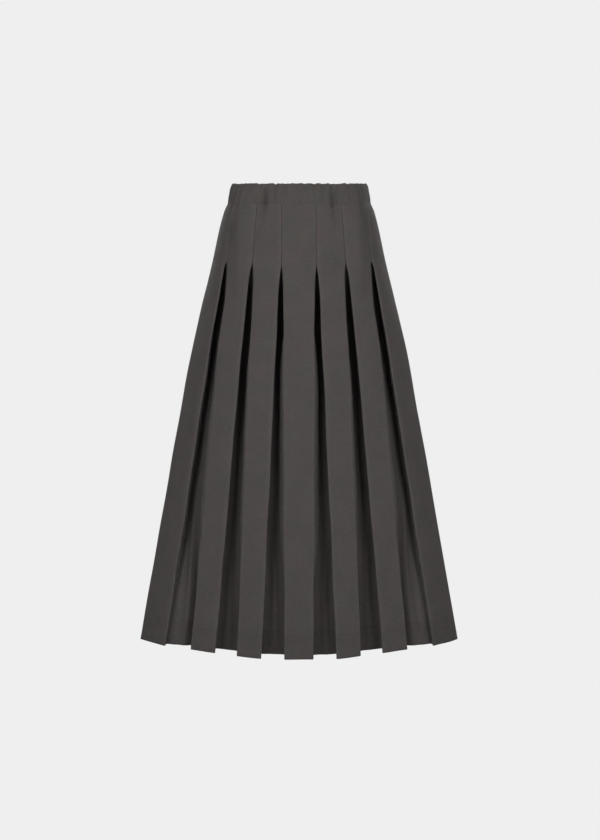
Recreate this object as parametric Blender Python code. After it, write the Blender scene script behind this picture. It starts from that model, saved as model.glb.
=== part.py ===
"""Box-pleated midi skirt with an elastic waistband, held open in the shape it has when it is worn.

Three sewn pieces: a pleated front, a pleated back and the waistband. The origin is the middle of the
waistband, where the wearer's waist holds the skirt up. +Z is up, and the front faces -Y.
Each panel is one wall of cloth that runs in and out through its pleats, and the side seams are hidden
in the folds of the side pleats. A drop is a distance below the origin. Sizes are in metres.
"""

import math

import bmesh
import bpy
import numpy as np

# Waistband: 35 mm elastic in a casing, gathered all round
BAND_HEIGHT = 0.036
BAND_WALL = 0.003
BAND_PROUD = 0.0006
GATHERS = 40
GATHER_DEPTH = 0.0016
COLUMNS_PER_GATHER = 4

# Cloth of the two panels, and the room between its layers where a pleat is closed
CLOTH = 0.0012
LAYER_PITCH = 0.0019
CLOSED_GAP = 0.0016
SEAM_GAP = 0.0003

# The pleats are stitched down as far as this, and the hem hangs a little higher at the sides
STITCH_END_DROP = 0.125
HEM_DROP = 0.805
HEM_RISE = 0.011
HEM_RISE_FROM = 0.12
HEM_RISE_TO = 0.75

# The oval that the panels' faces lie on: half its width, and its depth to the front and to the back
OVAL_COLUMNS = ("drop", "half_width", "front_depth", "back_depth")
BAND_TOP_OVAL = (-0.018, 0.1205, 0.083, 0.080)
PANEL_OVALS = (
    (0.018, 0.1265, 0.086, 0.085),
    (0.032, 0.1325, 0.090, 0.092),
    (0.125, 0.1537, 0.098, 0.108),
    (0.270, 0.1885, 0.108, 0.118),
    (0.440, 0.2208, 0.119, 0.129),
    (0.805, 0.2870, 0.142, 0.151),
)

# The pleats from the centre outwards. A breadth is how far the middle of the pleat is from the centre
# line at the waist seam, the end of the stitching, the thigh and the hem, and the gap is how far apart
# the panels' edges are at the hem. A fold is how far a return has swung, in degrees, from lying flat
# behind its panel, halfway down and at the hem. The bow is how far the cloth between the returns
# curves in. The next face is the panel after the pleat, in as many straight steps as it needs.
THIGH_DROP = 0.290
PLEAT_COLUMNS = (
    "seam_breadth", "stitch_breadth", "thigh_breadth", "hem_breadth", "hem_gap",
    "inner_fold", "inner_hem_fold", "outer_fold", "outer_hem_fold", "bow", "next_face_steps",
)
PLEATS = (
    (0.0298, 0.0304, 0.0343, 0.0454, 0.041, 108, 86, 60, 84, 0.003, 3),
    (0.0735, 0.0815, 0.0948, 0.1275, 0.039, 114, 84, 58, 76, 0.003, 3),
    (0.1185, 0.1280, 0.1513, 0.2140, 0.047, 130, 80, 50, 152, -0.005, 6),
)
SIDE_GAP = 0.040
SIDE_FOLD = 60

# The gaps spring open below the stitching and then widen evenly
SPRUNG_GAP = 0.006
SPRING_LENGTH = 0.027

# Shares of the open length: where the returns have swung out, and where they turn to the hem's folds
SWUNG_BY = 0.25
SWING_POWER = 0.6
HEM_FOLD_FROM = 0.60
HEM_FOLD_TO = 0.95

# A return's length: its share of the panel it lies behind where it is closed, and at the hem
RETURN_SHARE = 0.42
HEM_RETURN = 0.036

# Rings of points down a panel, closest together where the pleats open
RING_DROPS = (0.018, 0.032, 0.075, 0.125, 0.133, 0.150, 0.200, 0.290, 0.430, 0.560, 0.680, 0.805)
RETURN_STEPS = 2
UNDERLAY_STEPS = 4
ARC_SAMPLES = 240

CLOTH_COLOUR = (0.078, 0.069, 0.067, 1.0)
BAND_COLOUR = (0.074, 0.066, 0.063, 1.0)
CLOTH_ROUGHNESS = 0.9


def mix(low, high, share):
    return low + (high - low) * share


def smooth_step(share):
    share = min(1.0, max(0.0, share))
    return share * share * (3.0 - 2.0 * share)


class Oval:
    """An oval made of a front and a back half ellipse, one quarter of it measured along its arc.

    The arc runs from the centre front, or the centre back, to the side.
    """

    def __init__(self, half_width, depth):
        self.half_width = half_width
        self.depth = depth
        self.angles = np.linspace(0.0, math.pi / 2, ARC_SAMPLES + 1)
        steps = np.hypot(
            np.diff(half_width * np.sin(self.angles)), np.diff(depth * np.cos(self.angles))
        )
        self.arcs = np.concatenate([[0.0], np.cumsum(steps)])
        self.length = float(self.arcs[-1])

    def arc_at(self, breadth):
        """The arc from the centre to the point this far from the centre line."""
        return float(np.interp(math.asin(breadth / self.half_width), self.angles, self.arcs))

    def point(self, arc, inset):
        """(x, y) at this arc, moved in from the oval, with the panel's centre towards -Y."""
        angle = float(np.interp(arc, self.arcs, self.angles))
        across = math.sin(angle) / self.half_width
        along = math.cos(angle) / self.depth
        size = math.hypot(across, along)
        x = self.half_width * math.sin(angle) - inset * across / size
        y = self.depth * math.cos(angle) - inset * along / size
        return x, -y


def panel_oval(drop, depth_column):
    """The oval at any drop, on smooth curves through the rows of PANEL_OVALS."""
    table = np.array(PANEL_OVALS)
    drops = table[:, 0]
    i = int(np.clip(np.searchsorted(drops, drop) - 1, 0, len(drops) - 2))
    spans = np.diff(drops)
    t = (drop - drops[i]) / spans[i]
    sizes = []
    for column in ("half_width", depth_column):
        values = table[:, OVAL_COLUMNS.index(column)]
        slopes = np.diff(values) / spans
        inner = 2.0 / (1.0 / slopes[:-1] + 1.0 / slopes[1:])
        tangents = np.concatenate([slopes[:1], inner, slopes[-1:]])
        curve = (
            (2 * t**3 - 3 * t**2 + 1) * values[i]
            + (t**3 - 2 * t**2 + t) * spans[i] * tangents[i]
            + (3 * t**2 - 2 * t**3) * values[i + 1]
            + (t**3 - t**2) * spans[i] * tangents[i + 1]
        )
        sizes.append(float(curve))
    return Oval(*sizes)


def opened_share(drop):
    """How far down the open part of the pleats a drop is: 0 at the end of the stitching, 1 at the hem."""
    return max(0.0, (drop - STITCH_END_DROP) / (HEM_DROP - STITCH_END_DROP))


def half_gap(drop, hem_gap):
    """Half the distance between the edges of two neighbouring panels."""
    sprung = SPRUNG_GAP * smooth_step((drop - STITCH_END_DROP) / SPRING_LENGTH)
    rest = (hem_gap - CLOSED_GAP - SPRUNG_GAP) * opened_share(drop)
    return (CLOSED_GAP + sprung + rest) / 2


def pleat_edges(oval, drop):
    """For each pleat, the side one last, the arcs of the panel edges before and after it."""
    places = (PANEL_OVALS[0][0], STITCH_END_DROP, THIGH_DROP, HEM_DROP)
    edges = []
    for row in PLEATS:
        middle = float(np.interp(drop, places, row[: len(places)]))
        half = half_gap(drop, row[PLEAT_COLUMNS.index("hem_gap")])
        edges.append((oval.arc_at(middle - half), oval.arc_at(middle + half)))
    half = half_gap(drop, SIDE_GAP)
    edges.append((oval.length - half, oval.length + half))
    return edges


def fold_swing(opened, halfway, at_hem):
    """How far a return has swung from lying flat behind its panel, where the pleat is this open."""
    swung = min(1.0, opened / SWUNG_BY) ** SWING_POWER
    late = smooth_step((opened - HEM_FOLD_FROM) / (HEM_FOLD_TO - HEM_FOLD_FROM))
    return math.radians(mix(halfway * swung, at_hem, late))


def spaced(start, end, steps, bow=0.0):
    """Points evenly between two (arc, inset) points, without the two, curved in by the bow."""
    points = []
    for i in range(1, steps):
        arc = mix(start[0], end[0], i / steps)
        inset = mix(start[1], end[1], i / steps)
        points.append((arc, inset + bow * math.sin(math.pi * i / steps)))
    return points


def fold_points(edge, towards, reach, swing):
    """A return from a panel's edge to the edge of the underlay, with the two corners of each fold.

    towards is -1 where the return lies behind the panel before the edge, and 1 behind the next one.
    """
    turned = (edge, LAYER_PITCH)
    far = (
        edge + towards * reach * math.cos(swing),
        LAYER_PITCH + reach * math.sin(swing),
    )
    underlay = (far[0], far[1] + LAYER_PITCH)
    return [(edge, 0.0), turned, *spaced(turned, far, RETURN_STEPS), far, underlay]


def quarter_path(oval, drop):
    """The cloth's way from the centre line to the side seam, as (arc, inset) points."""
    edges = pleat_edges(oval, drop)
    starts = [-edges[0][0]] + [after for _, after in edges[:-1]]
    opened = opened_share(drop)
    reaches = [
        mix(RETURN_SHARE * (before - start), HEM_RETURN, opened)
        for start, (before, _) in zip(starts, edges)
    ]
    path = [(0.0, 0.0), (edges[0][0] / 2, 0.0)]
    for i, row in enumerate(PLEATS):
        pleat = dict(zip(PLEAT_COLUMNS, row))
        before, after = edges[i]
        inner_swing = fold_swing(opened, pleat["inner_fold"], pleat["inner_hem_fold"])
        outer_swing = fold_swing(opened, pleat["outer_fold"], pleat["outer_hem_fold"])
        inner = fold_points(before, -1, reaches[i], inner_swing)
        outer = fold_points(after, 1, reaches[i + 1], outer_swing)
        underlay = spaced(inner[-1], outer[-1], UNDERLAY_STEPS, pleat["bow"] * opened)
        face = spaced((after, 0.0), (edges[i + 1][0], 0.0), pleat["next_face_steps"])
        path += [*inner, *underlay, *reversed(outer), *face]
    side_swing = fold_swing(opened, SIDE_FOLD, SIDE_FOLD)
    fold = fold_points(edges[-1][0], -1, reaches[-1], side_swing)
    seam = (oval.length, fold[-1][1])
    path += [*fold, *spaced(fold[-1], seam, UNDERLAY_STEPS // 2), seam]
    return path


def moved_out(points, distance, closed):
    """A path in plan moved to its right by a distance, with its square corners kept square."""
    path = np.array(points)
    ahead = np.roll(path, -1, axis=0) - path
    ahead /= np.hypot(ahead[:, 0], ahead[:, 1])[:, None]
    if not closed:
        ahead[-1] = ahead[-2]
    behind = np.roll(ahead, 1, axis=0)
    if not closed:
        behind[0] = ahead[0]
    right = np.stack([ahead[:, 1] + behind[:, 1], -ahead[:, 0] - behind[:, 0]], axis=1)
    straightness = 1.0 + (ahead * behind).sum(axis=1)
    return path + distance * right / straightness[:, None]


def panel_ring(drop, depth_column):
    """The outer and the inner points of a panel at one drop, from the right side seam to the left."""
    oval = panel_oval(drop, depth_column)
    half = [oval.point(arc, inset) for arc, inset in quarter_path(oval, drop)]
    path = [(-x, y) for x, y in reversed(half[1:])] + half
    heights = []
    lowered = (drop - RING_DROPS[0]) / (HEM_DROP - RING_DROPS[0])
    for x, _ in path:
        outwards = (abs(x) / oval.half_width - HEM_RISE_FROM) / (HEM_RISE_TO - HEM_RISE_FROM)
        heights.append(HEM_RISE * smooth_step(outwards) * lowered - drop - SEAM_GAP)
    sides = []
    for distance in (CLOTH / 2, -CLOTH / 2):
        plan = moved_out(path, distance, closed=False)
        plan[[0, -1], 1] = -SEAM_GAP / 2
        sides.append([(x, y, z) for (x, y), z in zip(plan, heights)])
    return sides


# The waistband's rings: a height is a share of the band, the gathers fade at the seam, and the top
# edge rolls in
BAND_RING_COLUMNS = ("height", "rolled_in", "gathered")
BAND_RINGS = (
    (0.00, 0.0003, 0.3),
    (0.22, 0.0000, 0.8),
    (0.88, 0.0000, 1.0),
    (1.00, 0.0009, 0.8),
)


def band_ring(row):
    """The outer and the inner points of the waistband at one height, all the way round."""
    ring = dict(zip(BAND_RING_COLUMNS, row))
    seam, top = PANEL_OVALS[0], BAND_TOP_OVAL
    _, half_width, front, back = [mix(s, t, ring["height"]) for s, t in zip(seam, top)]
    z = mix(-BAND_HEIGHT / 2, BAND_HEIGHT / 2, ring["height"])
    columns = GATHERS * COLUMNS_PER_GATHER
    path = []
    for depth, side in ((front, 1), (back, -1)):
        oval = Oval(half_width, depth)
        for i in range(columns // 2):
            share = 4 * i / columns - 1.0
            x, y = oval.point(abs(share) * oval.length, 0.0)
            path.append((math.copysign(x, share) * side, y * side))
    gathered = [
        BAND_PROUD - ring["rolled_in"]
        + GATHER_DEPTH * ring["gathered"] * math.cos(2 * math.pi * i / COLUMNS_PER_GATHER) / 2
        for i in range(columns)
    ]
    ways = moved_out(path, 1.0, closed=True) - np.array(path)
    outer = np.array(path) + ways * np.array(gathered)[:, None]
    inner = np.array(path) - ways * (BAND_WALL - BAND_PROUD)
    return [[(x, y, z) for x, y in side] for side in (outer, inner)]


def close_wall(sheet, place, rings):
    """Make an open sheet a closed wall, its outer and its inner side through the rings' points.

    place gives the ring and the column of a vertex from where it is on the unshaped sheet.
    """
    outer = set(sheet.verts)
    bmesh.ops.extrude_face_region(sheet, geom=sheet.faces[:], use_keep_orig=True)
    for vertex in sheet.verts:
        ring, column = place(vertex.co)
        vertex.co = rings[ring][0 if vertex in outer else 1][column]
    bmesh.ops.recalc_face_normals(sheet, faces=sheet.faces)


def make_panel(depth_column):
    """A pleated panel: a flat grid with a row of squares for each step down, hung on its rings."""
    rings = [panel_ring(drop, depth_column) for drop in RING_DROPS]
    columns = len(rings[0][0]) - 1
    steps = len(rings) - 1
    sheet = bmesh.new()
    bmesh.ops.create_grid(sheet, x_segments=columns, y_segments=steps, size=1.0)

    def place(at):
        return round((1.0 - at.y) / 2 * steps), round((at.x + 1.0) / 2 * columns)

    close_wall(sheet, place, rings)
    return sheet


def make_waistband():
    """The casing: an open cylinder with a ring of squares for each step up, drawn to its rings."""
    rings = [band_ring(row) for row in BAND_RINGS]
    columns = len(rings[0][0])
    steps = len(rings) - 1
    tube = bmesh.new()
    bmesh.ops.create_cone(
        tube, cap_ends=False, segments=columns, radius1=1.0, radius2=1.0, depth=2.0
    )
    uprights = [edge for edge in tube.edges if edge.verts[0].co.z != edge.verts[1].co.z]
    bmesh.ops.subdivide_edges(tube, edges=uprights, cuts=steps - 1, use_grid_fill=True)

    def place(at):
        turned = math.atan2(at.y, at.x) + math.pi
        return round((at.z + 1.0) / 2 * steps), round(turned / (2 * math.pi) * columns) % columns

    close_wall(tube, place, rings)
    return tube


def cloth_material(name, colour):
    material = bpy.data.materials.new(name)
    material.use_nodes = True
    shader = material.node_tree.nodes["Principled BSDF"]
    shader.inputs["Base Color"].default_value = colour
    shader.inputs["Roughness"].default_value = CLOTH_ROUGHNESS
    shader.inputs["Metallic"].default_value = 0.0
    return material


def add_piece(name, built, collection, parent, colour):
    """A finished piece from its bmesh, with a cloth material of its own."""
    mesh = bpy.data.meshes.new(name)
    built.to_mesh(mesh)
    built.free()
    mesh.materials.append(cloth_material(f"{name}_cloth", colour))
    piece = bpy.data.objects.new(name, mesh)
    piece.parent = parent
    collection.objects.link(piece)
    return piece


def main():
    for old in list(bpy.data.objects):
        bpy.data.objects.remove(old)
    collection = bpy.data.collections.new("pleated_skirt")
    bpy.context.scene.collection.children.link(collection)
    waist = bpy.data.objects.new("waist", None)
    collection.objects.link(waist)

    add_piece("front_panel", make_panel("front_depth"), collection, waist, CLOTH_COLOUR)
    back = add_piece("back_panel", make_panel("back_depth"), collection, waist, CLOTH_COLOUR)
    back.rotation_euler.z = math.pi
    add_piece("waistband", make_waistband(), collection, waist, BAND_COLOUR)


main()
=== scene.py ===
"""The looks of a box-pleated midi skirt: two pleated panels, a gathered waistband and a studio.

Each panel is one sheet of cloth that runs in and out through its pleats, turned up at the hem. A
drop is a distance below the middle of the waistband. An arc is a distance round the oval that the
panels' faces lie on, from the centre to the side, and an inset is a distance in from that oval.
Sizes are in metres, +Z is up, and the front faces -Y.
"""

import math

import bmesh
import bpy
import numpy as np
from bpy.props import FloatProperty, FloatVectorProperty, PointerProperty
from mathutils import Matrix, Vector


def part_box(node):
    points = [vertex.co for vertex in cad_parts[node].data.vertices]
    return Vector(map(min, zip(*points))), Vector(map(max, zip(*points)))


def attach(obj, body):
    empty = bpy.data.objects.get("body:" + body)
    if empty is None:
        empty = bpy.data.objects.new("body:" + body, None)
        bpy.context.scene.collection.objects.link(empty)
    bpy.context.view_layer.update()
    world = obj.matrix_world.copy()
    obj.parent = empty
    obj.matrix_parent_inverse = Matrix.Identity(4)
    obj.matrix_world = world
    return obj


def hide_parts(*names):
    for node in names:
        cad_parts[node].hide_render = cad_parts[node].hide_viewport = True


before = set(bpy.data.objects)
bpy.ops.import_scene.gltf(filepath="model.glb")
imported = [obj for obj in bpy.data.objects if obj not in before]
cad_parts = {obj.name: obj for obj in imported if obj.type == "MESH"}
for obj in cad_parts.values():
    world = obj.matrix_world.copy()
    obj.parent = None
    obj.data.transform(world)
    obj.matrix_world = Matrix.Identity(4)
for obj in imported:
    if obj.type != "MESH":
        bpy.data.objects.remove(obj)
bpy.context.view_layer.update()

bl_info = {
    "name": "Pleated Midi Skirt",
    "version": (1, 0, 0),
    "blender": (4, 5, 0),
    "location": "3D View > Sidebar > Skirt",
    "description": "Makes a box-pleated midi skirt with a gathered waistband, and a studio for it",
    "category": "Object",
}

# The drops of the waist seam, the end of the pleats' stitching, the thigh and the hem
SEAM_DROP = 0.01802
STITCH_END_DROP = 0.125
THIGH_DROP = 0.290
HEM_DROP = -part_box("front_panel")[0].z

# How much higher the hem hangs at the sides, rising between two shares of the half width, how much
# higher inside the pleats, and how uneven it is
HEM_RISE = 0.011
HEM_RISE_FROM = 0.12
HEM_RISE_TO = 0.75
INNER_HEM_RISE = 0.0015
HEM_UNEVENNESS = 0.0006

# How far the waist seam and the hem's stitches draw the cloth in, and how far from them that shows
SEAM_CREASE = 0.0001
SEAM_CREASE_LENGTH = 0.0022
HEM_CREASE = 0.0005
HEM_CREASE_LENGTH = 0.0030

# Between the two panels at a side seam
SEAM_GAP = 0.00002

# The ovals that the panels' faces lie on: the drop, half the width, and the depth to front and back
PANEL_OVALS = np.array([
    (0.018, 0.1265, 0.086, 0.085),
    (0.032, 0.1325, 0.090, 0.092),
    (0.125, 0.1537, 0.098, 0.108),
    (0.270, 0.1885, 0.108, 0.118),
    (0.440, 0.2208, 0.119, 0.129),
    (0.805, 0.2870, 0.142, 0.151),
])
DEPTH_COLUMNS = (2, 3)
ARC_SAMPLES = 400

# The pleats from the centre outwards. A pleat runs from one panel's edge over its inner return, the
# underlay and its outer return to the next panel's edge. The breadths are how far its middle is from
# the centre line at four drops, and the gap is between the panels' edges, closed and at the hem.
# Below the stitching it springs open by a size, over a length, from a drop. A fold is how far a
# return has swung from lying flat behind its panel, in degrees, halfway down and at the hem, the roll
# is the radius of the turn into the inner return there, and the bow is how far the underlay curves in.
PLEAT_PLACES = (SEAM_DROP, STITCH_END_DROP, THIGH_DROP, HEM_DROP)
PLEATS = (
    {
        "breadths": (0.0298, 0.0304, 0.0343, 0.0454), "closed_gap": 0.0010, "hem_gap": 0.041,
        "spring": (0.0060, 0.048, 0.1230), "hem_returns": (0.029, 0.030),
        "inner_fold": (108, 88), "outer_fold": (60, 80), "roll": (0.0035, 0.0016), "bow": 0.003,
    },
    {
        "breadths": (0.0735, 0.0815, 0.0948, 0.1275), "closed_gap": 0.0010, "hem_gap": 0.039,
        "spring": (0.0065, 0.036, 0.1195), "hem_returns": (0.031, 0.029),
        "inner_fold": (112, 87), "outer_fold": (57, 72), "roll": (0.0050, 0.0018), "bow": 0.003,
    },
    {
        "breadths": (0.1185, 0.1280, 0.1513, 0.2140), "closed_gap": -0.0005, "hem_gap": 0.047,
        "spring": (0.0065, 0.016, 0.1180), "hem_returns": (0.034, 0.009),
        "inner_fold": (130, 80), "outer_fold": (48, 66), "roll": (0.0100, 0.0022), "bow": -0.004,
    },
)
SIDE_PLEAT = {
    "closed_gap": 0.0004, "hem_gap": 0.040, "spring": (0.006, 0.027, 0.125), "fold": (60, 60),
}

# How far apart a closed pleat's layers are, and by which share of the open part its returns have
# swung out, how quickly at first, and between which shares they take their shape at the hem
LAYER_PITCH = 0.0019
SWUNG_BY = 0.35
SWING_EASE = 3.0
HEM_FOLD_FROM = 0.60
HEM_FOLD_TO = 0.95

# How deep a return is: as a share of its panel where it is closed, then halfway down and at the hem
RETURN_SHARE = 0.42
HALFWAY_RETURN = 0.033
HEM_RETURN = 0.033

# How flat the panels' faces lie between their edges, at the waist seam and from a drop downwards
SEAM_FLATNESS = 0.15
OPEN_FLATNESS = 0.90
FLAT_FROM_DROP = 0.30

# The drop where the cloth hangs loose, how far its pressed edges, faces and underlays wander there,
# and how far the faces swell out
LOOSE_DROP = 0.205
EDGE_WANDER = 0.0007
FACE_WANDER = 0.0006
UNDERLAY_WANDER = 0.0016
FACE_CROWN = 0.0009

# The seeds of what is drawn at random
FRONT_SEED = 100
BACK_SEED = 200
BAND_SEED = 31
GATHER_SEED = 11

# How many columns of points each stretch of the cloth has
FACE_STEPS = 12
EDGE_STEPS = 5
RETURN_STEPS = 5
BACK_STEPS = 3
UNDERLAY_STEPS = 10

# Rows of points down a panel: the drop that each run of rows ends at, and how many it has
ROW_RUNS = (
    (0.0182, 1),
    (0.022, 4),
    (0.040, 8),
    (0.118, 10),
    (0.160, 14),
    (0.300, 16),
    (0.700, 36),
    (0.755, 6),
    (0.767, 6),
    (HEM_DROP, 6),
)
HEM_TURN_STEPS = 6
TURN_UP_STEPS = 5

# Keeps a path that is moved in from shooting out past a sharp turn
SHARPEST_TURN = 1.0

# The waistband: the oval at its top, as half the width and the depth to front and back, its columns
# of points, its rows as shares of its height, its steps over the top and down the inside, the share
# from which it rolls in, and how thin its cloth is against the panels'
BAND_TOP_OVAL = (0.1205, 0.083, 0.080)
BAND_COLUMNS = 560
BAND_ROWS = (
    0.0, 0.004, 0.03, 0.09, 0.16, 0.24, 0.33, 0.42, 0.51, 0.60, 0.69, 0.78, 0.86, 0.93, 1.0,
)
BAND_TURN_STEPS = 8
BAND_INSIDE_STEPS = 6
BAND_ROLLS_FROM = 0.7
BAND_CLOTH_SHARE = 0.8

# How far the band's troughs lean and how deep its ruffles are, how quickly these grow from the seam
# up, how near the centre back both fade out, and how close points have to be there to be joined
BAND_LEAN = 0.0022
BAND_RUFFLE = 0.00035
RUFFLE_GROWTH = 1.4
BAND_JOIN_REACH = 0.02
BAND_JOIN_DISTANCE = 0.00001

# Troughs that the elastic draws into the band and the cloth just below it: the distance along the
# waist from the centre front, to the wearer's left where positive, then the trough's depth and
# width, how strong it is at the band's top and at the seam, and how far below the seam it fades out
GATHER_COLUMNS = ("at", "depth", "width", "at_top", "at_seam", "fades")
FRONT_GATHERS = (
    (-0.1240, 0.0016, 0.0040, 1.00, 0.30, 0.012),
    (-0.1130, 0.0018, 0.0032, 0.90, 0.20, 0.010),
    (-0.1000, 0.0008, 0.0060, 0.50, 0.50, 0.030),
    (-0.0775, 0.0024, 0.0030, 0.30, 1.00, 0.010),
    (-0.0725, 0.0026, 0.0028, 1.00, 0.10, 0.006),
    (-0.0642, 0.0105, 0.0064, 0.12, 1.00, 0.027),
    (-0.0443, 0.0029, 0.0028, 1.00, 0.05, 0.006),
    (-0.0350, 0.0012, 0.0040, 0.90, 0.20, 0.010),
    (-0.0249, 0.0028, 0.0030, 1.00, 0.10, 0.006),
    (-0.0165, 0.0016, 0.0028, 0.70, 0.30, 0.008),
    (-0.0040, 0.0030, 0.0065, 0.20, 1.00, 0.006),
    (0.0110, 0.0017, 0.0028, 1.00, 0.10, 0.006),
    (0.0200, 0.0009, 0.0035, 0.80, 0.20, 0.010),
    (0.0283, 0.0026, 0.0030, 1.00, 0.20, 0.008),
    (0.0445, 0.0032, 0.0045, 1.00, 0.25, 0.012),
    (0.0632, 0.0112, 0.0064, 0.25, 1.00, 0.027),
    (0.0740, 0.0032, 0.0028, 1.00, 0.20, 0.006),
    (0.0801, 0.0022, 0.0032, 0.40, 0.90, 0.010),
    (0.0951, 0.0017, 0.0034, 0.90, 0.20, 0.010),
    (0.1040, 0.0009, 0.0050, 0.60, 0.40, 0.020),
    (0.1148, 0.0014, 0.0060, 0.30, 0.80, 0.036),
    (0.1285, 0.0016, 0.0040, 1.00, 0.30, 0.012),
)
FRONT_GATHERS_REACH = 0.133

# The other troughs are drawn between these bounds, most of them weak at the seam
GATHER_SPACING = (0.007, 0.017)
GATHER_DEPTHS = (0.0010, 0.0036)
GATHER_WIDTHS = (0.0026, 0.0056)
GATHER_FADES = (0.006, 0.028)
GATHERS_AT_TOP = (0.3, 1.0)
SEAM_GATHER_EASE = 1.5

# How steeply the troughs fade below the seam, where all have gone, and how far the band's top dips
# with them, from which share of its height
GATHER_FADE_EASE = 1.5
GATHERS_END = 0.09
EDGE_DIP = 0.75
DIPS_FROM = 0.55

# The ridge where the layers behind the second panel end, while its pleats are closed: its height,
# where it runs across the panel at the seam and at the stitching's end, and where it has faded out
RIDGE_PANEL = 2
RIDGE_HEIGHT = 0.0062
RIDGE_AT = (0.54, 0.43)
RIDGE_ROUNDING = 0.05
RIDGE_ENDS_DROP = 0.20

# Soft folds in the underlays, listed for the front: the pleat, the side, the place across
# from the inner to the outer return, the height (a trough if negative), the width as a share of the
# cloth, and the drops where it starts and is full. The hem's doubled cloth is stiffer, so less of a
# fold is left at its edge. The back's folds are these the other way round, moved across.
FOLDS_LEFT_AT_HEM = 0.35
BACK_FOLDS_ACROSS = 0.9
UNDERLAY_FOLD_COLUMNS = ("pleat", "side", "across", "rise", "width", "starts", "full")
UNDERLAY_FOLDS = (
    (2, -1, 0.44, 0.0060, 0.13, 0.46, 0.74),
    (2, -1, 0.20, -0.0070, 0.11, 0.54, 0.74),
    (2, -1, 0.66, -0.0046, 0.08, 0.52, 0.72),
    (2, -1, 0.82, 0.0026, 0.08, 0.60, 0.76),
    (2, 1, 0.42, 0.0056, 0.13, 0.48, 0.75),
    (2, 1, 0.19, -0.0062, 0.11, 0.55, 0.74),
    (2, 1, 0.64, -0.0044, 0.09, 0.52, 0.74),
    (2, 1, 0.82, 0.0026, 0.08, 0.60, 0.76),
    (1, -1, 0.62, 0.0034, 0.16, 0.50, 0.74),
    (1, -1, 0.30, -0.0022, 0.13, 0.58, 0.74),
    (1, 1, 0.55, 0.0030, 0.16, 0.46, 0.72),
    (1, 1, 0.28, -0.0020, 0.12, 0.60, 0.74),
    (0, -1, 0.44, 0.0034, 0.13, 0.52, 0.72),
    (0, 1, 0.56, 0.0034, 0.13, 0.50, 0.72),
)

# The lamps, in pairs: the azimuth from the front in degrees, the height, the size, and the share of
# the power
LAMPS = (
    ("main", 29, 0.7, 0.9, 0.97),
    ("low", 14, -0.7, 0.5, 0.05),
    ("rim", 64, -0.6, 1.3, 0.32),
    ("back", 150, 0.6, 0.5, 0.8),
)
LAMP_REACH = 2.4
LAMP_TARGET = Vector((0.0, 0.0, -0.35))
BACKDROP_RADIUS = 14.0
FLOOR_HEIGHT = -1.05

# What a mesh carries for its material: the cloth's grain, a painted highlight on its pressed edges,
# weaker beside them and low at the band's top, and painted shade on the doubled hem, fading over a
# length below its stitches
WEAVE_UV = "cloth_grain"
EDGE_HIGHLIGHT = "painted_edge_highlight"
HEM_SHADE_MASK = "painted_hem_shade"
BESIDE_EDGE = 0.45
HEM_SHADE_LENGTH = 0.045
BAND_EDGE_HEIGHT = 0.0012

# Noise on the cloth's grain: how many lumps to a metre across and down, its detail and its seed
WEFT_SLUBS = (130, 520, 2.0, 3.0)
WARP_SLUBS = (620, 70, 2.0, 7.0)
LONG_SLUBS = (45, 400, 1.0, 13.0)
FIBRES = (1500, 1500, 1.0, 19.0)
PATCHES = (30, 24, 2.0, 23.0)
WARMTH = (34, 30, 2.0, 29.0)


def mix(low, high, share):
    return low + (high - low) * share


def smooth_step(share):
    share = np.clip(share, 0.0, 1.0)
    return share * share * (3.0 - 2.0 * share)


def eased(value, start, end):
    """How far a value has come from start to end, from 0 to 1, setting off and arriving softly."""
    return smooth_step((value - start) / (end - start))


class Drift:
    """A slow, uneven wander over two coordinates, between about -1 and 1."""

    WAVES = 5
    SPREAD = (0.6, 1.6)
    USUAL_SUM = 3.0

    def __init__(self, seed, across, down):
        draw = np.random.default_rng(seed)
        self.waves = [
            (
                2 * math.pi / (across * draw.uniform(*self.SPREAD)) * draw.choice([-1, 1]),
                2 * math.pi / (down * draw.uniform(*self.SPREAD)),
                draw.uniform(0, 2 * math.pi),
            )
            for _ in range(self.WAVES)
        ]

    def at(self, across, down):
        return sum(np.sin(a * across + d * down + p) for a, d, p in self.waves) / self.USUAL_SUM


class Oval:
    """A quarter of an oval, measured along its arc from the centre front or back to the side."""

    def __init__(self, half_width, depth):
        self.half_width = half_width
        self.depth = depth
        self.angles = np.linspace(0.0, math.pi / 2, ARC_SAMPLES + 1)
        across = np.diff(half_width * np.sin(self.angles))
        along = np.diff(depth * np.cos(self.angles))
        self.arcs = np.concatenate([[0.0], np.cumsum(np.hypot(across, along))])
        self.length = float(self.arcs[-1])

    def arc_at(self, breadth):
        """The arc from the centre to the point this far from the centre line."""
        return float(np.interp(math.asin(breadth / self.half_width), self.angles, self.arcs))

    def points(self, arcs, insets):
        """Plan points at these arcs and insets, x out to the side and y towards the front."""
        angles = np.interp(arcs, self.arcs, self.angles)
        across = np.sin(angles) / self.half_width
        along = np.cos(angles) / self.depth
        size = np.hypot(across, along)
        x = self.half_width * np.sin(angles) - insets * across / size
        y = self.depth * np.cos(angles) - insets * along / size
        return np.stack([x, -y], axis=1)


def panel_oval(drop, depth_column):
    """The oval at any drop, on smooth curves through the rows of PANEL_OVALS."""
    drops = PANEL_OVALS[:, 0]
    i = int(np.clip(np.searchsorted(drops, drop) - 1, 0, len(drops) - 2))
    spans = np.diff(drops)
    t = (drop - drops[i]) / spans[i]
    sizes = []
    for column in (1, depth_column):
        values = PANEL_OVALS[:, column]
        slopes = np.diff(values) / spans
        inner = 2.0 / (1.0 / slopes[:-1] + 1.0 / slopes[1:])
        tangents = np.concatenate([slopes[:1], inner, slopes[-1:]])
        sizes.append(float(
            (2 * t**3 - 3 * t**2 + 1) * values[i]
            + (t**3 - 2 * t**2 + t) * spans[i] * tangents[i]
            + (3 * t**2 - 2 * t**3) * values[i + 1]
            + (t**3 - t**2) * spans[i] * tangents[i + 1]
        ))
    return Oval(*sizes)


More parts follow.
